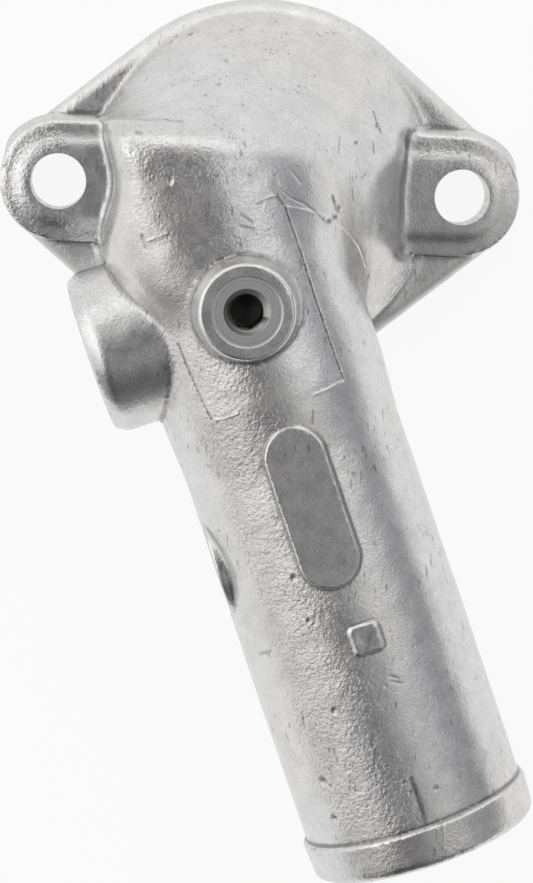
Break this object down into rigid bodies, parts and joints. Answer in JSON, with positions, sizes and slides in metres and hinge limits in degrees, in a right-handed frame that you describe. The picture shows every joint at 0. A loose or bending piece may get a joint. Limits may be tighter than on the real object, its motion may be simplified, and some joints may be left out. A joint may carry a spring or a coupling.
{
  "type": "thermostat housing",
  "caption": "Cast aluminium thermostat housing with a flanged hood, a level outlet tube with a hose bead, a side boss with a sender port and a small tapped front boss.",
  "frame": {"origin": "middle of the gasket face, halfway between the bolt holes", "axes": "+X along the line of the bolt holes, +Z off the gasket face through the hood, and the outlet tube leaves towards -Y, swung 20.9 degrees towards +X"},
  "size_m": [0.0897, 0.1403, 0.0471],
  "materials": {
    "cast_aluminium": "as cast, satin, with a light grain"
  },
  "bodies": {
    "root": {"housing": "cast_aluminium"}
  },
  "joints": []
}
